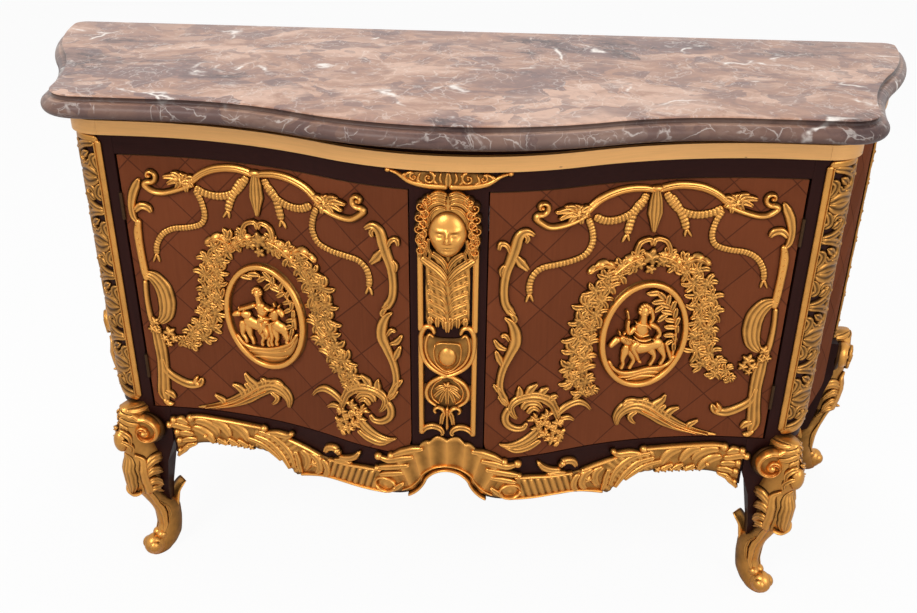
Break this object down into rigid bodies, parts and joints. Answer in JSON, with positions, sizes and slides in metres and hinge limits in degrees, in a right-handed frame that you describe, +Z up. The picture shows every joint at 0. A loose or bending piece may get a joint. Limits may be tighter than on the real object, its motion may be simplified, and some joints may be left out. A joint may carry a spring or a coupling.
{
  "type": "commode chest",
  "caption": "Serpentine commode chest on cabriole legs with a moulded marble top, hinged parquetry doors and gilt rococo mounts.",
  "frame": {"origin": "floor level under the centre of the commode's overall box", "axes": "+X to the right as seen from the front, along the length; -Y out of the front; +Z up"},
  "size_m": [1.5936, 0.608, 0.92],
  "materials": {
    "marble": "polished, clouded and veined",
    "gilt_bronze": "gilded, bright with dark recesses",
    "band": "smooth satin gilt",
    "parquetry": "polished lozenge parquetry",
    "dark_wood": "polished",
    "carcass": "plain oiled",
    "hinge_brass": "satin",
    "steel": "satin"
  },
  "bodies": {
    "case": {"apron_rail": "dark_wood", "apron_shell": "gilt_bronze", "back_panel": "carcass", "bottom_board": "carcass", "centre_stile": "dark_wood", "crest_mount": "gilt_bronze", "door_magnets": "steel", "front_band": "band", "marble_top": "marble", "mask_mount": "gilt_bronze", "post_hinge_leaves": "hinge_brass", "shelf": "carcass", "shelf_battens": "carcass", "strapwork_mount": "gilt_bronze", "sub_top": "dark_wood", "top_rail": "dark_wood", "left_apron_border": "gilt_bronze", "right_apron_border": "gilt_bronze", "left_front_corner_mount": "gilt_bronze", "right_front_corner_mount": "gilt_bronze", "left_front_leg": "dark_wood", "right_front_leg": "dark_wood", "left_front_leg_mount": "gilt_bronze", "right_front_leg_mount": "gilt_bronze", "left_rear_corner_mount": "gilt_bronze", "right_rear_corner_mount": "gilt_bronze", "left_rear_leg": "dark_wood", "right_rear_leg": "dark_wood", "left_rear_leg_mount": "gilt_bronze", "right_rear_leg_mount": "gilt_bronze", "left_side_band": "band", "right_side_band": "band", "left_side_panel": "parquetry", "right_side_panel": "parquetry"},
    "left_door": {"left_door_core": "carcass", "left_door_parquetry": "parquetry", "left_door_hinge_leaves": "hinge_brass", "left_catch_plate": "steel", "left_arch_mount": "gilt_bronze", "left_garland": "gilt_bronze", "left_medallion_frame": "gilt_bronze", "left_medallion_relief": "gilt_bronze", "left_acanthus_spray": "gilt_bronze", "left_corner_spray": "gilt_bronze", "left_hinge_side_scroll": "gilt_bronze", "left_centre_side_scroll": "gilt_bronze"},
    "right_door": {"right_door_core": "carcass", "right_door_parquetry": "parquetry", "right_door_hinge_leaves": "hinge_brass", "right_catch_plate": "steel", "right_arch_mount": "gilt_bronze", "right_garland": "gilt_bronze", "right_medallion_frame": "gilt_bronze", "right_medallion_relief": "gilt_bronze", "right_acanthus_spray": "gilt_bronze", "right_corner_spray": "gilt_bronze", "right_hinge_side_scroll": "gilt_bronze", "right_centre_side_scroll": "gilt_bronze"}
  },
  "joints": [
    {"name": "right_door_hinge", "type": "hinge", "parent": "case", "child": "right_door", "pos_m": [0.536, -0.13747, 0.5715], "axis": [0, 0, 1], "range_deg": [0, 95]},
    {"name": "left_door_hinge", "type": "hinge", "parent": "case", "child": "left_door", "pos_m": [-0.536, -0.13747, 0.5715], "axis": [0, 0, -1], "range_deg": [0, 95]}
  ]
}
